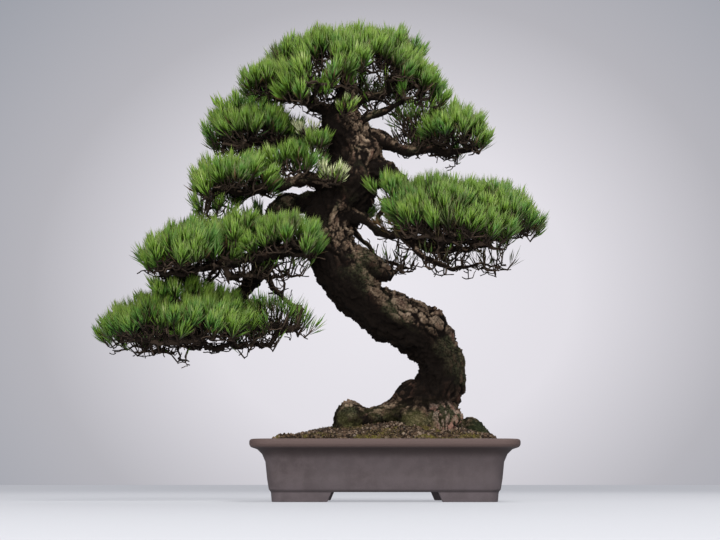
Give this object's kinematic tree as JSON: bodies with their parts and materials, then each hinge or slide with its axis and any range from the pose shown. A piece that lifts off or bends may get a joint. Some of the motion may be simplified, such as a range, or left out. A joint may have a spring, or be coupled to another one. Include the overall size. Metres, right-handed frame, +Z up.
{
  "type": "japanese black pine bonsai",
  "caption": "Informal upright black pine bonsai with a sinuous trunk, surface roots, tiered needle pads and a shallow rectangular unglazed pot on corner feet.",
  "frame": {"origin": "middle of the whole object's box, on the surface that the pot's feet stand on", "axes": "+Z up, +X to the right of the tree's front and along the pot's long side, +Y to the back"},
  "size_m": [0.8495, 0.4498, 0.9026],
  "materials": {
    "clay": "matte",
    "soil": "matte",
    "bark": "matte",
    "needles": "satin"
  },
  "bodies": {
    "root": {"pot": "clay", "soil": "soil", "spray_back_1": "needles", "spray_back_2": "needles", "spray_back_high_1": "needles", "spray_crown_front_1": "needles", "spray_crown_left_1": "needles", "spray_crown_left_2": "needles", "spray_crown_right_1": "needles", "spray_crown_right_2": "needles", "spray_crown_top_1": "needles", "spray_crown_top_2": "needles", "spray_crown_top_3": "needles", "spray_crown_top_4": "needles", "spray_crown_top_5": "needles", "spray_crown_top_6": "needles", "spray_crown_top_7": "needles", "spray_left_2_1": "needles", "spray_left_2_2": "needles", "spray_left_2_3": "needles", "spray_left_2_back_1": "needles", "spray_left_2_low_1": "needles", "spray_left_2_right_1": "needles", "spray_left_2_right_2": "needles", "spray_left_3_1": "needles", "spray_left_3_2": "needles", "spray_left_3_3": "needles", "spray_left_3_4": "needles", "spray_left_3_right_1": "needles", "spray_left_3_right_2": "needles", "spray_low_inner_1": "needles", "spray_low_inner_2": "needles", "spray_low_inner_3": "needles", "spray_low_inner_4": "needles", "spray_low_outer_1": "needles", "spray_low_outer_2": "needles", "spray_low_outer_3": "needles", "spray_low_outer_4": "needles", "spray_low_outer_5": "needles", "spray_low_right_1": "needles", "spray_low_right_2": "needles", "spray_right_back_1": "needles", "spray_right_low_1": "needles", "spray_right_mid_1": "needles", "spray_right_mid_2": "needles", "spray_right_mid_3": "needles", "spray_right_mid_4": "needles", "spray_right_mid_5": "needles", "spray_right_mid_outer_1": "needles", "spray_right_mid_outer_2": "needles", "spray_right_mid_outer_3": "needles", "spray_up_left_1": "needles", "spray_up_left_2": "needles", "spray_up_left_3": "needles", "spray_up_left_4": "needles", "spray_up_left_5": "needles", "spray_up_right_1": "needles", "spray_up_right_2": "needles", "spray_up_right_3": "needles", "trunk": "bark"}
  },
  "joints": []
}
